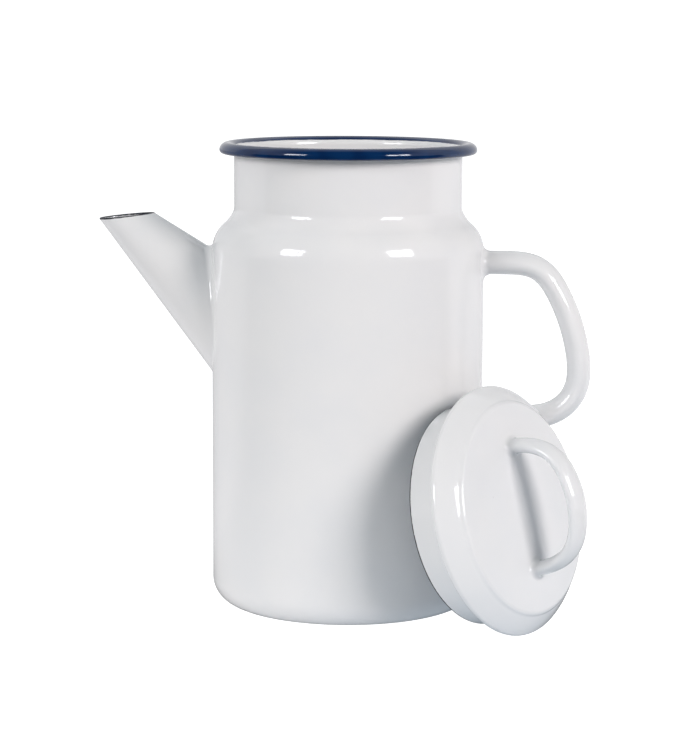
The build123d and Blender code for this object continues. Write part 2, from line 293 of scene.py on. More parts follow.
def cone_dirs(columns):
    """Directions along the spout's cone from its apex, and its outward normals."""
    theta = np.arange(columns) * math.tau / columns
    axis = np.array([math.cos(SPOUT_TILT), 0.0, -math.sin(SPOUT_TILT)])
    across = np.array([0.0, 1.0, 0.0])
    radial = (across * np.cos(theta)[..., None]
              + np.cross(axis, across) * np.sin(theta)[..., None])
    cos, sin = math.cos(SPOUT_HALF), math.sin(SPOUT_HALF)
    return axis * cos + radial * sin, radial * cos - axis * sin


def cut_opening(body):
    """Cuts the pouring opening behind the spout, a ledge's width inside the cone."""
    count = 96
    along, outward = cone_dirs(count)
    inset = SHEET + SPOUT_LEDGE
    rings = [APEX + along * t - outward * inset for t in (CUTTER_START, SPOUT_BURIED)]
    faces = [[i, (i + 1) % count, count + (i + 1) % count, count + i] for i in range(count)]
    faces += [list(range(count))[::-1], list(range(count, 2 * count))]
    mesh = bpy.data.meshes.new("cutter")
    mesh.from_pydata((np.vstack(rings) * MM).tolist(), [], faces)
    bm = bmesh.new()
    bm.from_mesh(mesh)
    bmesh.ops.recalc_face_normals(bm, faces=bm.faces)
    bm.to_mesh(mesh)
    bm.free()
    cutter = bpy.data.objects.new("cutter", mesh)
    scene.collection.objects.link(cutter)
    opening = body.modifiers.new("opening", "BOOLEAN")
    opening.operation = "DIFFERENCE"
    opening.solver = "EXACT"
    opening.object = cutter
    depsgraph = bpy.context.evaluated_depsgraph_get()
    cut = bpy.data.meshes.new_from_object(body.evaluated_get(depsgraph))
    body.modifiers.clear()
    body.data = cut
    bpy.data.objects.remove(cutter)


def profile_normals(places, outline, outline_normals):
    """Normals of the revolved outline at the places nearest to it."""
    on_axis = 0.3  # nearer the axis than this, the normal is vertical
    radii = np.hypot(places[:, 0], places[:, 1])
    flat = np.stack([radii, places[:, 2]], 1)
    starts, spans = outline[:-1], outline[1:] - outline[:-1]
    share = ((flat[:, None, :] - starts[None]) * spans[None]).sum(-1)
    share = np.clip(share / (spans ** 2).sum(1)[None], 0, 1)
    nearest = starts[None] + share[..., None] * spans[None]
    k = ((nearest - flat[:, None, :]) ** 2).sum(-1).argmin(1)
    share = share[np.arange(len(flat)), k][:, None]
    normals = unit(blend(outline_normals[k], outline_normals[k + 1], share))
    safe = np.where(radii > on_axis, radii, 1.0)
    radial = np.where(radii[:, None] > on_axis, places[:, :2] / safe[:, None], 0.0)
    return np.concatenate([radial * normals[:, :1], normals[:, 1:]], 1)


def set_body_normals(mesh, outline, outline_normals):
    """Exact smooth normals from the profile, flat ones on the walls of the cut."""
    chunk = 4000  # vertices at a time, to bound memory
    count = len(mesh.vertices)
    places = np.zeros(count * 3)
    mesh.vertices.foreach_get("co", places)
    places = places.reshape(-1, 3) / MM
    radii = np.hypot(places[:, 0], places[:, 1])
    normals = np.vstack([
        profile_normals(places[i:i + chunk], outline, outline_normals)
        for i in range(0, count, chunk)])
    normals /= np.maximum(np.linalg.norm(normals, axis=1, keepdims=True), 1e-9)
    mesh.polygons.foreach_set("use_smooth", [True] * len(mesh.polygons))
    # a cut wall turns away from the profile's normals, and lies in the opening's zone
    max_cosine, min_radius, bottom, top = 0.6, 55, 95, 170
    loops = []
    for polygon in mesh.polygons:
        face_normal = np.array(polygon.normal)
        corners = list(polygon.vertices)
        smooth = normals[corners]
        x, _, z = places[corners[0]]
        if ((smooth @ face_normal).min() < max_cosine and radii[corners].min() > min_radius
                and x < 0 and bottom < z < top):
            loops.extend([face_normal] * len(smooth))
        else:
            loops.extend(smooth)
    mesh.normals_split_custom_set(np.array(loops).tolist())


def pot_body():
    outline, outline_normals = body_profile()
    grid, normals = revolved(outline, outline_normals, 288)
    down, up = np.array([0, 0, -1.0]), np.array([0, 0, 1.0])
    body = mesh_from_grid("pot_body", grid, normals,
                          caps=((np.zeros(3), down), (SHEET * up, up)))
    cut_opening(body)
    set_body_normals(body.data, outline, outline_normals)
    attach(body, "pot")
    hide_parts("body_shell")


# --------------------------------------------------------------- rolled rim
def rim_wobble(angle, height):
    """The dipped coat's unevenness: a slow swell and a slight ripple."""
    swell = 0.035 * np.sin(3 * angle + 0.7) * np.sin(5 * angle + 2.1)
    return swell + 0.02 * np.sin(11 * angle + height * 0.9)


def rim_face(angle, radius, way):
    """Point and tangent on one face of the rolled sheet; way 1 is clockwise."""
    cos, sin = math.cos(angle), math.sin(angle)
    x, z = radius * cos, radius * sin
    tangent = way * np.array([sin + RIM_LEAN * cos, -cos])
    return np.array([RIM_R + x - RIM_LEAN * z, RIM_Z + z]), unit(tangent)


def rolled_rim():
    """One continuous roll: crest, outside, underside, and back under the flare."""
    steps = 66
    angles = [math.pi / 2 - i / steps * RIM_SWEEP for i in range(steps + 1)]
    outer = [rim_face(angle, BEAD_R, 1) for angle in angles]
    inner = [rim_face(angle, BEAD_R - SHEET, -1) for angle in angles[::-1]]
    profile = Profile()
    for point, tangent in outer:
        profile.put(point, tangent)
    # rounded raw edge of the sheet
    end, end_tangent = outer[-1]
    centre = (end + inner[0][0]) / 2
    radius = np.linalg.norm(end - centre)
    outward = (end - centre) / radius
    for i in range(1, SHEET_EDGE_STEPS):
        angle = math.pi * i / SHEET_EDGE_STEPS
        cos, sin = math.cos(angle), math.sin(angle)
        profile.put(centre + radius * (outward * cos + end_tangent * sin),
                    end_tangent * cos - outward * sin)
    for point, tangent in inner:
        profile.put(point, tangent)
    mesh_from_grid("rolled_rim_bead", *revolved(*profile.arrays(), 360, rim_wobble),
                   closed=True, body="pot", node="rolled_rim")


# ------------------------------------------------------- limbs and their roots
def wall_distance(places):
    """Distance outside the body's wall and lower shoulder, and the normal there."""
    shoulder_in = BODY_R - SHOULDER_R
    shoulder_z = SHOULDER_Z - SHOULDER_R * math.tan(SHOULDER_TILT / 2)
    x, y, z = places[..., 0], places[..., 1], places[..., 2]
    radii = np.hypot(x, y)
    on_wall = z <= shoulder_z
    out, rise = radii - shoulder_in, z - shoulder_z
    reach = np.hypot(out, rise)
    distance = np.where(on_wall, radii - BODY_R, reach - SHOULDER_R)
    radial = np.where(on_wall, 1.0, out / reach)
    vertical = np.where(on_wall, 0.0, rise / reach)
    return distance, np.stack([radial * x / radii, radial * y / radii, vertical], -1)


def lid_top_distance(places):
    """Distance above the lid's shallow conical top, and the normal there."""
    x, y, z = places[..., 0], places[..., 1], places[..., 2]
    radii = np.hypot(x, y)
    k = 1 / math.hypot(1, LID_SLOPE)
    distance = (z - (LID_TOP_Z - LID_SLOPE * radii)) * k
    normal = [LID_SLOPE * x / radii * k, LID_SLOPE * y / radii * k, np.full(radii.shape, k)]
    return distance, np.stack(normal, -1)


def bisect(height, target, clear, buried, columns):
    """For every column, the place along a limb where its height is the target."""
    clear, buried = np.full(columns, clear), np.full(columns, buried)
    for _ in range(60):
        middle = (clear + buried) / 2
        above = height(middle) > target
        clear, buried = np.where(above, middle, clear), np.where(above, buried, middle)
    return (clear + buried) / 2


# where the fillet leaves the limb, its rows from limb to base, and the hidden end
Root = namedtuple("Root", "fillet_at points normals sunk_at")


def limb_root(point, distance, radius, clear, buried, columns):
    """Rolls a ball in the corner between a limb and its base. point(t) gives the
    limb's surface and normal; distance gives the height over the base."""
    def ball_height(t):
        surface, normal = point(t)
        return distance(surface + radius * normal)[0]

    t = bisect(ball_height, radius, clear, buried, columns)
    surface, limb_normal = point(t)
    centre = surface + radius * limb_normal
    base_normal = distance(centre)[1]
    angle = np.arccos(np.clip((limb_normal * base_normal).sum(-1), -1, 1))
    rows = []
    for i in range(FILLET_STEPS + 1):
        share = i / FILLET_STEPS
        rows.append((np.sin((1 - share) * angle)[:, None] * limb_normal
                     + np.sin(share * angle)[:, None] * base_normal)
                    / np.sin(angle)[:, None])
    normals = np.array(rows)
    sunk = bisect(lambda t: distance(point(t)[0])[0], -ROOT_DEPTH, clear, buried, columns)
    return Root(t, centre - radius * normals, normals, sunk)


def pot_frame(points, normals):
    return points, normals


def seam(name, root, point, distance, frame_of, body, node):
    """The fused fillet at a root, closed by a hidden underside just inside."""
    foot = root.points[-1]
    limb, limb_normal = point(root.fillet_at)
    under = [foot - ROOT_DEPTH * distance(foot)[1], point(root.sunk_at)[0],
             limb - ROOT_DEPTH * limb_normal]
    points = np.concatenate([root.points, np.array(under)], 0)
    normals = np.concatenate([root.normals, -root.normals[[-1, -1, 0]]], 0)
    mesh_from_grid(name, *frame_of(points, normals), closed=True, body=body, node=node)


# -------------------------------------------------------------------- spout
def spout():
    columns = SPOUT_COLUMNS
    along, outward = cone_dirs(columns)
    half = SHEET / 2

    def point(t):
        return APEX + along * t[:, None], outward

    def inner_height(t):
        return wall_distance(APEX + along * t[:, None] - outward * SHEET)[0]

    span = (SPOUT_CLEAR, SPOUT_BURIED, columns)
    root = limb_root(point, wall_distance, SPOUT_WELD_R, *span)
    inner_sunk = bisect(inner_height, -ROOT_DEPTH, *span)

    # the mouth is a plane through tip and heel; its lip is a half round
    across = np.array([0.0, 1.0, 0.0])
    mouth_normal = unit(np.cross(across, SPOUT_TIP - SPOUT_HEEL))
    edge_at = ((SPOUT_HEEL - APEX) @ mouth_normal) / (along @ mouth_normal) + half
    edge = APEX + along * edge_at[:, None] - outward * half
    tangent = unit(np.roll(edge, -1, 0) - np.roll(edge, 1, 0))
    beyond = unit(np.cross(tangent, outward))
    beyond *= -np.sign((beyond * along).sum(1, keepdims=True))

    rows = []  # (points, normals, bare share), from the root out and back inside
    for i in range(5):
        t = blend(root.sunk_at, root.fillet_at, i / 5)
        rows.append((*point(t), np.zeros(columns)))
    for i in range(40, -1, -1):
        t = blend(edge_at, root.fillet_at, (i / 40) ** 1.6)
        swell = LIP_SWELL * np.exp(-(t - edge_at) / LIP_SWELL_FADE)
        rows.append((APEX + along * t[:, None] + outward * swell[:, None],
                     outward + along * (swell / LIP_SWELL_FADE)[:, None],
                     bare_share(t - edge_at, reach=0.18, fade=0.16)))
    for i in range(1, LIP_STEPS):
        angle = math.pi * i / LIP_STEPS
        normal = outward * math.cos(angle) + beyond * math.sin(angle)
        radius = half + LIP_SWELL * min(1.0, 2 - 2 * angle / math.pi)
        rows.append((edge + normal * radius, normal, np.ones(columns)))
    for i in range(41):
        t = blend(edge_at, inner_sunk, (i / 40) ** 1.4)
        rows.append((APEX + along * t[:, None] - outward * SHEET, -outward,
                     bare_share(t - edge_at, reach=0.25, fade=0.3)))
    points, normals, bare = (np.array(part) for part in zip(*rows))
    mesh_from_grid("spout_cone", points, normals, closed=True, raw_edge=bare,
                   body="pot", node="spout")
    seam("spout_root_seam", root, point, wall_distance, pot_frame, "pot", "spout_weld")


# ------------------------------------------------------------ strap handles
def spline(knots, start, end):
    """A smooth cubic through knots with given end directions. Returns a function
    from the distance along the chords to place and tangent, and the whole length."""
    knots = np.array(knots, float)
    chords = np.linalg.norm(np.diff(knots, axis=0), axis=1)
    places = np.concatenate([[0], np.cumsum(chords)])
    count = len(knots)
    gaps = np.diff(places)
    matrix = np.zeros((count, count))
    target = np.zeros((count, 2))
    matrix[0, 0] = matrix[-1, -1] = 1
    target[0] = unit(np.array(start, float))
    target[-1] = unit(np.array(end, float))
    for i in range(1, count - 1):
        before, after = gaps[i - 1], gaps[i]
        matrix[i, i - 1:i + 2] = 1 / before, 2 * (1 / before + 1 / after), 1 / after
        target[i] = 3 * ((knots[i] - knots[i - 1]) / before ** 2
                         + (knots[i + 1] - knots[i]) / after ** 2)
    slopes = np.linalg.solve(matrix, target)

    def curve(s):
        s = np.clip(s, places[0], places[-1])
        k = np.clip(np.searchsorted(places, s, side="right") - 1, 0, count - 2)
        gap = gaps[k]
        x = (s - places[k]) / gap

        def hermite(knot, slope, next_knot, next_slope):
            return (knot[..., None] * knots[k] + slope[..., None] * slopes[k]
                    + next_knot[..., None] * knots[k + 1]
                    + next_slope[..., None] * slopes[k + 1])

        place = hermite(2 * x**3 - 3 * x**2 + 1, (x**3 - 2 * x**2 + x) * gap,
                        -2 * x**3 + 3 * x**2, (x**3 - x**2) * gap)
        tangent = hermite((6 * x**2 - 6 * x) / gap, 3 * x**2 - 4 * x + 1,
                          (-6 * x**2 + 6 * x) / gap, 3 * x**2 - 2 * x)
        return place, unit(tangent)

    return curve, places[-1]


def strap_surface(curve, length, columns, width, thick, swell):
    """Surface of a strap lying in the XZ plane: an oval, its width along Y, drawn
    in towards both edges. It widens by the swell between its feet."""
    phi = np.arange(columns) * math.tau / columns
    cos, sin = np.cos(phi), np.sin(phi)
    drawn = 1 - STRAP_RIDGE * cos ** 2

    def point(s):
        centre, tangent = curve(s)
        tangent_x, tangent_z = tangent[..., 0], tangent[..., 1]
        out_x, out_z = tangent_z, -tangent_x  # right of travel
        u = np.pi * np.clip(s / length, 0, 1)
        wide = width * (1 + swell * np.sin(u) ** 2)
        slope = width * swell * np.sin(2 * u) * np.pi / length * cos / 2
        off = sin * thick / 2 * drawn
        surface = np.stack(
            [centre[..., 0] + out_x * off, cos * wide / 2, centre[..., 1] + out_z * off], -1)
        normal_y = cos * thick / 2 * (drawn + 2 * STRAP_RIDGE * sin ** 2)
        normal_out = sin * wide / 2
        tilt = normal_y * slope
        normal = np.stack([out_x * normal_out - tangent_x * tilt, normal_y,
                           out_z * normal_out - tangent_z * tilt], -1)
        return surface, unit(normal)

    return point


def strap_handle(name, body, path, ends, width, thick, swell, columns, rows, weld_radius,
                 first_span, last_span, distance, frame_of):
    """A strap and the seams at its two feet. The spans are distances from the
    strap's ends, one clear of the base and one buried in it."""
    curve, length = spline(path, *ends)
    point = strap_surface(curve, length, columns, width, thick, swell)
    upper = limb_root(point, distance, weld_radius, *first_span, columns)
    lower = limb_root(point, distance, weld_radius,
                      *(length - inset for inset in last_span), columns)
    stations = [blend(upper.sunk_at, upper.fillet_at, i / 4) for i in range(4)]
    stations += [blend(upper.fillet_at, lower.fillet_at, i / rows) for i in range(rows + 1)]
    stations += [blend(lower.fillet_at, lower.sunk_at, i / 4) for i in range(1, 5)]
    points, normals = (np.array(part) for part in zip(*map(point, stations)))
    points, normals = frame_of(points, normals)
    middles = points.mean(1)
    caps = ((middles[0], middles[0] - middles[3]), (middles[-1], middles[-1] - middles[-4]))
    mesh_from_grid(f"{name}_strap", points, normals, caps=caps, body=body, node=name)
    for place, root in (("upper", upper), ("lower", lower)):
        seam(f"{name}_{place}_seam", root, point, distance, frame_of, body,
             f"{name}_{place}_weld")


# ---------------------------------------------------------------------- lid
edge_centre_r = LID_R - LID_EDGE_R
band_centre_r = edge_centre_r - (LID_BAND_R - LID_EDGE_R) * math.cos(LID_EDGE_END)
band_centre_z = -(LID_BAND_R - LID_EDGE_R) * math.sin(LID_EDGE_END)


def lid_placing():
    """The leaning lid's axes as columns, and its centre: its edge stands on the
    floor and its plug ring comes within LEAN_GAP of the pot's wall."""
    azimuth, rise = math.radians(LEAN_AZIMUTH), math.radians(LEAN_RISE)
    cos, sin = math.cos(rise), math.sin(rise)
    out = np.array([math.cos(azimuth), math.sin(azimuth), 0])
    side = np.array([-math.sin(azimuth), math.cos(azimuth), 0])
    axis = np.array([cos * out[0], cos * out[1], sin])
    up = np.array([-sin * out[0], -sin * out[1], cos])
    height = np.array([0, 0, edge_centre_r * cos + LID_EDGE_R])

    angles = np.arange(1440) * math.tau / 1440
    ring = (np.cos(angles)[:, None] * side + np.sin(angles)[:, None] * up) * PLUG_R
    low, high = 60.0, 140.0
    while high - low > 1e-5:
        middle = (low + high) / 2
        plug_edge = out * middle + side * LEAN_SIDE + height + axis * PLUG_END + ring
        if (np.hypot(plug_edge[:, 0], plug_edge[:, 1]) - BODY_R).min() < LEAN_GAP:
            low = middle
        else:
            high = middle
    turn = math.radians(LID_HANDLE_TURN)
    lid_x = up * math.cos(turn) + np.cross(axis, up) * math.sin(turn)
    axes = np.stack([lid_x, np.cross(axis, lid_x), axis], 1)
    return axes, out * high + side * LEAN_SIDE + height


lid_axes, lid_centre = lid_placing()


def lid_frame(points, normals):
    return points @ lid_axes.T + lid_centre, normals @ lid_axes.T


def on_band(angle, inset):
    radius = LID_BAND_R - inset
    return (band_centre_r + radius * math.cos(angle), band_centre_z + radius * math.sin(angle))


def band_underside_z(radius):
    return on_band(math.acos((radius - band_centre_r) / (LID_BAND_R - SHEET)), SHEET)[1]


def cover_face(inset, turn):
    """From the raw edge in the roll, round it, up the band and in over the crown."""
    profile = Profile()
    profile.arc((edge_centre_r, 0), LID_EDGE_R - inset, -math.pi, LID_EDGE_END, turn=turn)
    profile.arc((band_centre_r, band_centre_z), LID_BAND_R - inset, LID_EDGE_END,
                LID_BAND_END - LID_FOOT_RUN / LID_BAND_R, turn=0.8)
    foot = on_band(LID_BAND_END, inset)
    profile.rounded([
        (foot[0] + LID_FOOT_RUN * math.sin(LID_BAND_END),
         foot[1] - LID_FOOT_RUN * math.cos(LID_BAND_END), 0),
        (foot[0], foot[1], LID_FOOT_R + inset),
        (LID_STEP_R - inset * 0.55, LID_STEP_Z - inset, LID_STEP_BEND_R - inset),
        (LID_POLE_R, LID_TOP_Z - inset - LID_POLE_R * (LID_TOP_Z - LID_STEP_Z) / LID_STEP_R, 0),
    ], step=2.5, turn=turn)
    return profile.arrays()


def lid_cover():
    top, top_normals = cover_face(inset=0, turn=4)
    under, under_normals = cover_face(inset=SHEET, turn=5)
    # rounded raw edge inside the roll
    angles = [math.pi * i / SHEET_EDGE_STEPS for i in range(SHEET_EDGE_STEPS - 1, 0, -1)]
    edge_normals = np.array([(math.cos(angle), math.sin(angle)) for angle in angles])
    edge = np.array([edge_centre_r - LID_EDGE_R + SHEET / 2, 0.0]) + SHEET / 2 * edge_normals
    grid = revolved(np.vstack([top[::-1], edge, under]),
                    np.vstack([top_normals[::-1], edge_normals, -under_normals]), 288)
    up = np.array([0, 0, 1.0])
    caps = (lid_frame(LID_TOP_Z * up, up), lid_frame((LID_TOP_Z - SHEET) * up, -up))
    mesh_from_grid("lid_cover_dish", *lid_frame(*grid), caps=caps, body="lid",
                   node="lid_cover")


def lid_plug_ring():
    """A tube of sheet under the lid, its free edge rounded and left dark."""
    overlap = 0.3  # of its top into the cover
    fine_zone = 0.6  # closely stepped height by the free edge
    outside = Profile()
    fine_start = (PLUG_R, PLUG_END + fine_zone + SHEET / 2)
    outside.line((PLUG_R, band_underside_z(PLUG_R) + overlap), fine_start, step=2.4)
    outside.line(fine_start, (PLUG_R, PLUG_END + SHEET / 2), step=0.15)
    inside = Profile()
    inside.line((PLUG_IN_R, PLUG_END + SHEET / 2),
                (PLUG_IN_R, band_underside_z(PLUG_IN_R) + overlap), step=2.4)
    edge, edge_normals = [], []
    for i in range(1, LIP_STEPS):
        cos, sin = math.cos(math.pi * i / LIP_STEPS), math.sin(math.pi * i / LIP_STEPS)
        edge.append((PLUG_R - SHEET / 2 + SHEET / 2 * cos, PLUG_END + SHEET / 2 - SHEET / 2 * sin))
        edge_normals.append((cos, -sin))
    # the sides travel with the sheet on their outer hand, so their normals turn round
    outer, outer_normals = outside.arrays()
    inner, inner_normals = inside.arrays()
    points = np.vstack([outer, edge, inner])
    grid = revolved(points, np.vstack([-outer_normals, edge_normals, -inner_normals]), 288)
    bare = bare_share(points[:, 1] - PLUG_END, reach=0.62, fade=0.16)
    mesh_from_grid("lid_plug_skirt", *lid_frame(*grid), closed=True,
                   raw_edge=np.repeat(bare[:, None], 288, 1), body="lid", node="lid_plug_ring")


def lid_plug_seam():
    """The fused seam inside the plug ring: a hollow curve from the cover to the
    ring, and a hidden back within the sheet."""
    run, drop, slant = 2.4, 2.7, 0.6
    into_ring, into_cover = 0.05, 0.35
    steps = 12
    base_z = band_underside_z(PLUG_IN_R)
    curve = []
    for i in range(steps + 1):
        share = i / steps
        angle = math.pi / 2 * share
        curve.append((
            PLUG_IN_R + into_ring - run * (1 - math.sin(angle)),
            base_z + into_cover - drop * (1 - math.cos(angle)) + slant * (1 - share)))
    curve = np.array(curve)
    tangents = unit(np.gradient(curve, axis=0))
    normals = np.stack([tangents[:, 1], -tangents[:, 0]], 1)
    back_r = PLUG_IN_R + 0.3
    back = [(back_r, base_z - 2.0), (back_r, base_z + 0.2)]
    grid = revolved(np.vstack([curve, back]),
                    np.vstack([normals, [(1.0, 0.0), (0.0, 1.0)]]), 192)
    mesh_from_grid("lid_plug_seam", *lid_frame(*grid), closed=True, body="lid",
                   node="lid_plug_weld")


pot_body()
rolled_rim()
spout()
strap_handle(
    "handle", "pot", HANDLE_PATH, ends=((1, 0), (-1, 0)), width=HANDLE_W, thick=HANDLE_T,
    swell=0.0, columns=72, rows=190, weld_radius=HANDLE_WELD_R,
    first_span=(25.0, 0.2), last_span=(30.0, 0.2), distance=wall_distance, frame_of=pot_frame)
lid_cover()
lid_plug_ring()
lid_plug_seam()
strap_handle(
    "lid_handle", "lid", LID_HANDLE_PATH, ends=((-0.05, 1), (-0.05, -1)),
    width=LID_HANDLE_W, thick=LID_HANDLE_T, swell=LID_HANDLE_SWELL, columns=64, rows=130,
    weld_radius=LID_WELD_R, first_span=(12.0, 0.05), last_span=(12.0, 0.05),
    distance=lid_top_distance, frame_of=lid_frame)


# ---------------------------------------------------------------- materials
class Shader:
    """Short forms for building the node tree of a material or world."""

    def __init__(self, owner):
        owner.use_nodes = True
        self.tree = owner.node_tree
        self.tree.nodes.clear()

    def add(self, kind, inputs=None, **settings):
        node = self.tree.nodes.new(kind)
        for key, value in settings.items():
            setattr(node, key, value)
        for key, value in (inputs or {}).items():
            if isinstance(value, bpy.types.NodeSocket):
                self.tree.links.new(value, node.inputs[key])
            else:
                node.inputs[key].default_value = value
        return node

    def get(self, kind, inputs=None, output=0, **settings):
        return self.add(kind, inputs, **settings).outputs[output]

    def math(self, operation, first, second):
        return self.get("ShaderNodeMath", {0: first, 1: second}, operation=operation)

    def times(self, first, second):
        return self.math("MULTIPLY", first, second)

    def inverse(self, mask):
        return self.math("SUBTRACT", 1.0, mask)

    def step(self, value, low, high):
        """Smooth 0 to 1 as the value goes from low to high."""
        return self.get("ShaderNodeMapRange",
                        {"Value": value, "From Min": low, "From Max": high},
                        output="Result", interpolation_type="SMOOTHSTEP")

    def mix(self, share, first, second):
        """Colours, as sockets or RGB triples."""
        first, second = (
            (*colour, 1) if isinstance(colour, tuple) else colour for colour in (first, second))
        return self.get("ShaderNodeMix", {"Factor": share, 6: first, 7: second},
                        output=2, data_type="RGBA")

    def along(self, vector, way):
        return self.get("ShaderNodeVectorMath", {0: vector, 1: way}, output="Value",
                        operation="DOT_PRODUCT")

    def step_along(self, vector, way, low, high):
        return self.step(self.along(vector, way), low=low, high=high)

    def panels(self, parts):
        """Sum of masks times colours."""
        total = None
        for mask, rgb in parts:
            part = self.get("ShaderNodeVectorMath", {0: rgb, "Scale": mask}, operation="SCALE")
            if total is not None:
                part = self.get("ShaderNodeVectorMath", {0: total, 1: part}, operation="ADD")
            total = part
        return total

    def noise(self, place, scale, detail=2.0, roughness=0.5):
        return self.get("ShaderNodeTexNoise", {
            "Vector": place, "Scale": scale, "Detail": detail, "Roughness": roughness,
        }, output="Fac")

    def object_place(self):
        return self.get("ShaderNodeTexCoord", output="Object")

    def ray(self, kind):
        return self.get("ShaderNodeLightPath", output=kind)

    def choose(self, share, first, second):
        """Mix of two shaders."""
        return self.get("ShaderNodeMixShader", {0: share, 1: first, 2: second})


WHITE, WHITE_THIN = (0.815, 0.818, 0.826), (0.795, 0.803, 0.818)
NAVY, NAVY_THICK = (0.0018, 0.0235, 0.090), (0.0012, 0.0165, 0.070)
GROUND = (0.012, 0.016, 0.026)  # ground coat on raw edges
PINHOLE = (0.18, 0.17, 0.17)
PINHOLE_CHOICE = 0.93  # cells whose random value is above this have a pinhole
PINHOLE_R, PINHOLE_R_SPREAD = 0.006, 0.008  # in cells
PINHOLE_STRENGTH = 0.55
NAVY_FROM_Z, NAVY_FULL_Z = 0.21015, 0.21050  # metres, edge of the dipped rim
NAVY_WANDER = 0.0009
ROUGHNESS, ROUGHNESS_DRIFT, BARE_ROUGHNESS = 0.055, 0.03, 0.35
# noise that breaks up the bare edge: contrast, offset and weight
BREAK_GAIN, BREAK_OFFSET, BREAK_WEIGHT = 1.5, -0.55, 0.9
WAVE_DEPTH, PEEL_DEPTH = 0.00006, 0.0000012  # metres


def white_coat(shader, place, drift):
    """White, unevenly thick, with sparse pinholes where the ground coat shows."""
    white = shader.mix(shader.step(drift, low=0.3, high=0.7), WHITE, WHITE_THIN)
    cells = shader.add("ShaderNodeTexVoronoi", {"Vector": place, "Scale": 55.0}, feature="F1")
    random = shader.add("ShaderNodeSeparateColor", {"Color": cells.outputs["Color"]})
    chosen = shader.math("GREATER_THAN", random.outputs[0], PINHOLE_CHOICE)
    spread = shader.times(random.outputs[1], PINHOLE_R_SPREAD)
    radius = shader.math("ADD", spread, PINHOLE_R)
    dot = shader.math("LESS_THAN", cells.outputs["Distance"], radius)
    speck = shader.times(shader.times(chosen, dot), PINHOLE_STRENGTH)
    return shader.mix(speck, white, PINHOLE)


def navy_coat(shader, place):
    patches = shader.noise(place, scale=120.0)
    return shader.mix(shader.step(patches, low=0.35, high=0.65), NAVY, NAVY_THICK)


def dip_mask(shader, place):
    """1 above the slightly wandering edge of the navy dip."""
    height = shader.get("ShaderNodeSeparateXYZ", {"Vector": place}, output=2)
    noise = shader.noise(place, scale=60.0, detail=4.0, roughness=0.6)
    wander = shader.times(shader.math("SUBTRACT", noise, 0.5), NAVY_WANDER)
    return shader.step(shader.math("ADD", height, wander), low=NAVY_FROM_Z, high=NAVY_FULL_Z)


def bare_mask(shader, place):
    """1 along the broken line where a raw edge is bare."""
    edge = shader.get("ShaderNodeAttribute", output="Fac", attribute_name="raw_edge")
    noise = shader.noise(place, scale=420.0, detail=4.0, roughness=0.65)
    broken = shader.math("ADD", shader.times(noise, BREAK_GAIN), BREAK_OFFSET)
    edge = shader.math("ADD", edge, shader.times(broken, BREAK_WEIGHT))
    return shader.step(edge, low=0.72, high=1.05)


def enamel(name, navy=False, dipped_rim=False, bare_edge=False):
    material = bpy.data.materials.new(name)
    shader = Shader(material)
    place = shader.object_place()
    drift = shader.noise(place, scale=34.0, detail=3.0, roughness=0.55)
    colour = navy_coat(shader, place) if navy else white_coat(shader, place, drift)
    if dipped_rim:
        colour = shader.mix(dip_mask(shader, place), colour, navy_coat(shader, place))
    roughness = shader.math("ADD", shader.times(drift, ROUGHNESS_DRIFT), ROUGHNESS)
    if bare_edge:
        mask = bare_mask(shader, place)
        colour = shader.mix(mask, colour, GROUND)
        roughness = shader.math("ADD", roughness, shader.times(mask, BARE_ROUGHNESS))
    # the fired coat: slow waves with a trace of orange peel
    wave = shader.get("ShaderNodeBump", {
        "Height": shader.noise(place, scale=75.0, roughness=0.45),
        "Strength": 1.0, "Distance": WAVE_DEPTH})
    peel = shader.get("ShaderNodeBump", {
        "Height": shader.noise(place, scale=900.0),
        "Strength": 1.0, "Distance": PEEL_DEPTH, "Normal": wave})
    glaze = shader.get("ShaderNodeBsdfPrincipled", {
        "Base Color": colour, "Roughness": roughness, "IOR": 1.52, "Normal": peel})
    shader.add("ShaderNodeOutputMaterial", {"Surface": glaze})
    return material


white_enamel = enamel("white_enamel")
dipped_enamel = enamel("white_enamel_dipped_rim", dipped_rim=True)
bare_edge_enamel = enamel("white_enamel_bare_edge", bare_edge=True)
navy_enamel = enamel("navy_enamel", navy=True)
special = {
    "rolled_rim_bead": navy_enamel,
    "pot_body": dipped_enamel,
    "spout_cone": bare_edge_enamel,
    "lid_plug_skirt": bare_edge_enamel,
}
for piece in pieces:
    material = special.get(piece.name, white_enamel)
    piece.data.materials.clear()
    piece.data.materials.append(material)
for name, cad_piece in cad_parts.items():
    cad_piece.data.materials.clear()
    cad_piece.data.materials.append(navy_enamel if name == "rolled_rim" else white_enamel)

# -------------------------------------------------------------------- stage
# the camera and lights are turned together about Z; directions as the camera sees
STAGE_TURN = 6.5  # degrees
turn_cos, turn_sin = math.cos(math.radians(STAGE_TURN)), math.sin(math.radians(STAGE_TURN))
RIGHT, LEFT = (turn_cos, turn_sin, 0.0), (-turn_cos, -turn_sin, 0.0)
BACK, UP = (-turn_sin, turn_cos, 0.0), (0.0, 0.0, 1.0)


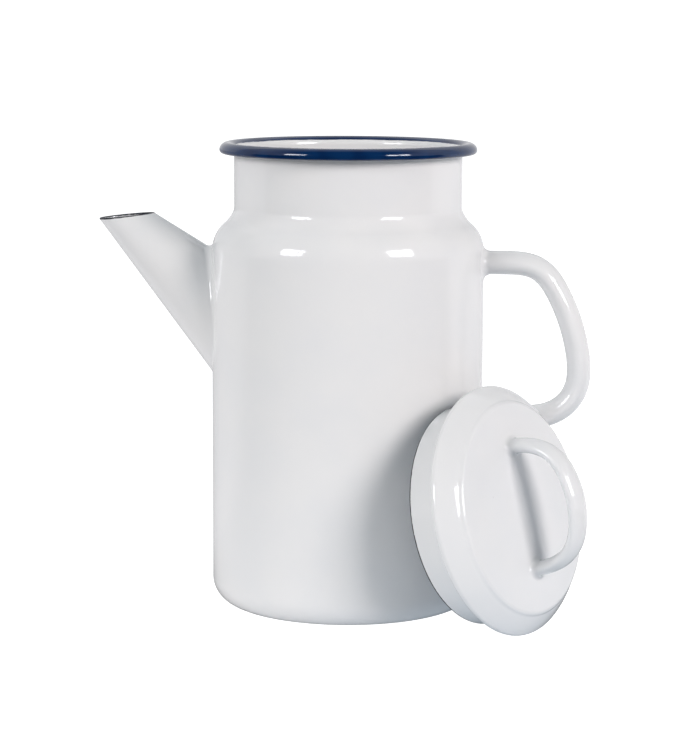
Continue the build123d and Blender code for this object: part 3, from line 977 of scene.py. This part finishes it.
def floor_paper():
    """Paper that looks different to the camera, to diffuse light and to the glaze."""
    material = bpy.data.materials.new("floor_paper")
    shader = Shader(material)
    grain = shader.noise(shader.object_place(), scale=3.0)
    paper = shader.mix(grain, (0.30, 0.30, 0.30), (0.31, 0.31, 0.31))
    shown = shader.get("ShaderNodeAddShader", {
        0: shader.get("ShaderNodeBsdfDiffuse", {"Color": paper}),
        1: shader.get("ShaderNodeEmission", {"Strength": 1.05})})

    # masks over the floor, their edges in metres
    where = shader.get("ShaderNodeNewGeometry", output="Position")
    right = shader.step_along(where, RIGHT, low=-0.12, high=0.12)
    left = shader.inverse(right)
    back = shader.step_along(where, BACK, low=-0.05, high=0.15)
    fore = shader.inverse(back)
    distance = shader.get("ShaderNodeVectorMath", {0: where}, output="Value",
                          operation="LENGTH")
    far = shader.step(distance, low=0.15, high=0.45)
    near = shader.times(shader.inverse(far), fore)

    # painted light: the paper glows, unseen by the camera, to light the pot as light thrown back
    # would
    lift = shader.get("ShaderNodeEmission", {"Strength": 1.0, "Color": shader.panels([
        (shader.times(near, left), (0.614, 0.605, 0.607)),
        (shader.times(near, right), (0.310, 0.385, 0.455)),
        (shader.times(shader.times(far, fore), right), (0.271, 0.274, 0.292)),
        (back, (0.713, 0.720, 0.746)),
    ])})
    bounce = shader.get("ShaderNodeBsdfDiffuse", {"Color": (0.35, 0.35, 0.35, 1)})
    lit = shader.get("ShaderNodeAddShader", {0: bounce, 1: lift})
    # mirrored in the glaze, the paper is dark at the camera's side and bright behind
    mirrored = shader.get("ShaderNodeEmission", {"Strength": 1.0, "Color": shader.panels([
        (fore, (0.02, 0.022, 0.025)),
        (shader.times(back, right), (0.80, 0.80, 0.82)),
        (shader.times(back, left), (0.50, 0.50, 0.52)),
    ])})
    unseen = shader.choose(shader.ray("Is Glossy Ray"), lit, mirrored)
    shader.add("ShaderNodeOutputMaterial", {
        "Surface": shader.choose(shader.ray("Is Camera Ray"), unseen, shown)})
    return material


def floor():
    bm = bmesh.new()
    bmesh.ops.create_grid(bm, x_segments=8, y_segments=8, size=30.0)
    mesh = bpy.data.meshes.new("floor")
    bm.to_mesh(mesh)
    bm.free()
    ground = bpy.data.objects.new("floor", mesh)
    scene.collection.objects.link(ground)
    mesh.materials.append(floor_paper())


def studio():
    """The room: dim on the camera's side, panels at both sides, a lit backdrop."""
    world = bpy.data.worlds.new("studio")
    scene.world = world
    shader = Shader(world)
    way = shader.get("ShaderNodeTexCoord", output="Generated")

    def towards(direction, low, high):
        return shader.step_along(way, direction, low=low, high=high)

    behind = towards(BACK, low=0.42, high=0.56)
    front = shader.inverse(behind)
    to_right = shader.times(towards(RIGHT, low=0.45, high=0.85), front)
    to_left = shader.times(towards(LEFT, low=0.45, high=0.85), front)
    overhead = shader.times(towards(UP, low=0.35, high=0.8), front)
    soft = shader.panels([
        (behind, (0.090, 0.115, 0.120)),
        (shader.times(behind, towards(RIGHT, low=0.1, high=0.5)), (0.169, 0.178, 0.180)),
        (shader.times(behind, towards(LEFT, low=0.1, high=0.5)), (0.470, 0.463, 0.467)),
        (to_right, (0.210, 0.190, 0.184)),
        (to_left, (0.952, 0.895, 0.870)),
        (towards(RIGHT, low=0.80, high=0.97), (0.558, 0.537, 0.547)),
        (towards(LEFT, low=0.80, high=0.97), (0.580, 0.554, 0.541)),
        (overhead, (0.071, 0.135, 0.162)),
    ])
    ceiling = shader.times(towards(UP, low=0.5, high=0.8), towards(BACK, low=-0.25, high=0.25))
    mirrored = shader.panels([
        (behind, (0.78, 0.78, 0.80)),
        (to_right, (0.62, 0.63, 0.67)),
        (to_left, (0.50, 0.49, 0.50)),
        (front, (0.03, 0.035, 0.04)),
        (ceiling, (0.55, 0.56, 0.58)),
    ])
    colour = shader.mix(shader.ray("Is Glossy Ray"), soft, mirrored)
    room = shader.get("ShaderNodeBackground", {"Color": colour, "Strength": 1.0})
    wall = shader.get("ShaderNodeBackground", {"Color": (1, 1, 1, 1), "Strength": 1.1})
    shader.add("ShaderNodeOutputWorld", {
        "Surface": shader.choose(shader.ray("Is Camera Ray"), room, wall)})


floor()
studio()
scene.view_settings.view_transform = "Standard"
scene.view_settings.look = "None"

# ------------------------------------------------------------------- lights
LIGHT_TARGET = Vector((0.0, 0.0, 0.17))
SOFTBOX_DISTANCE, MIRROR_DISTANCE = 3.2, 3.1


def softbox(name, azimuth, elevation, width, height, radiance, lit=(0.0, 1.0), mirror=False):
    """A lit rectangle facing the pot. Azimuth 0 is the camera's side, positive to
    the camera's right; lit is the part of its width that shines. It shows either
    as light on the glaze or, if a mirror, as a reflection in it."""
    start, end = lit
    turn = math.radians(azimuth + STAGE_TURN)
    rise = math.radians(elevation)
    away = Vector((math.sin(turn) * math.cos(rise), -math.cos(turn) * math.cos(rise),
                   math.sin(rise)))
    distance = MIRROR_DISTANCE if mirror else SOFTBOX_DISTANCE
    light = bpy.data.lights.new(name, "AREA")
    light.shape = "RECTANGLE"
    light.size = width * (end - start)
    light.size_y = height
    light.energy = max(radiance) * light.size * light.size_y * math.pi
    light.color = [value / max(radiance) for value in radiance]
    box = bpy.data.objects.new(name, light)
    scene.collection.objects.link(box)
    box.rotation_mode = "QUATERNION"
    box.rotation_quaternion = (-away).to_track_quat("-Z", "Y")
    sideways = box.rotation_quaternion @ Vector((1.0, 0.0, 0.0))
    box.location = (LIGHT_TARGET + away * distance
                    + sideways * width * ((start + end) / 2 - 0.5))
    box.visible_camera = False
    box.visible_glossy = mirror
    box.visible_diffuse = not mirror


softbox("softbox_left", azimuth=-48.5, elevation=22.5, width=1.24, height=1.15,
        radiance=(8.8, 8.75, 8.7))
softbox("softbox_right", azimuth=45.5, elevation=22.5, width=1.24, height=1.15,
        radiance=(15.3, 14.4, 14.0))
# the boxes as the glaze mirrors them, each with the dark bar of its frame:
# side, azimuth, width, radiance, lit parts
for side, azimuth, width, radiance, lit_parts in (
    ("left", -49.3, 1.02, (13.5, 13.4, 14.2), ((0.0, 0.76), (0.83, 1.0))),
    ("right", 46.3, 1.10, (16.0, 16.0, 16.6), ((0.0, 0.48), (0.55, 1.0))),
):
    for i, lit in enumerate(lit_parts, 1):
        softbox(f"panes_{side}_{i}", azimuth=azimuth, elevation=21.5, width=width,
                height=0.92, radiance=radiance, lit=lit, mirror=True)

# ------------------------------------------------------------------- camera
SENSOR_WIDTH, LENS = 36.0, 120.369907  # mm
CAMERA_PLACE = Vector((0, -1.14302, 0.27385))  # before the stage's turn
PITCH, YAW, ROLL = 0.14678, 0.00103, 0.00407  # radians: down, to the right, about the view


def camera():
    data = bpy.data.cameras.new("camera")
    eye = bpy.data.objects.new("camera", data)
    scene.collection.objects.link(eye)
    scene.camera = eye
    data.sensor_width = SENSOR_WIDTH
    data.lens = LENS
    forward = Vector((math.sin(YAW) * math.cos(PITCH), math.cos(YAW) * math.cos(PITCH),
                      -math.sin(PITCH)))
    level = Vector((math.cos(YAW), -math.sin(YAW), 0))
    upright = level.cross(forward)
    right = level * math.cos(ROLL) + upright * math.sin(ROLL)
    up = -level * math.sin(ROLL) + upright * math.cos(ROLL)
    turn = Matrix.Rotation(math.radians(STAGE_TURN), 3, "Z")
    rotation = Matrix((turn @ right, turn @ up, -(turn @ forward))).transposed()
    eye.matrix_world = Matrix.Translation(turn @ CAMERA_PLACE) @ rotation.to_4x4()


camera()
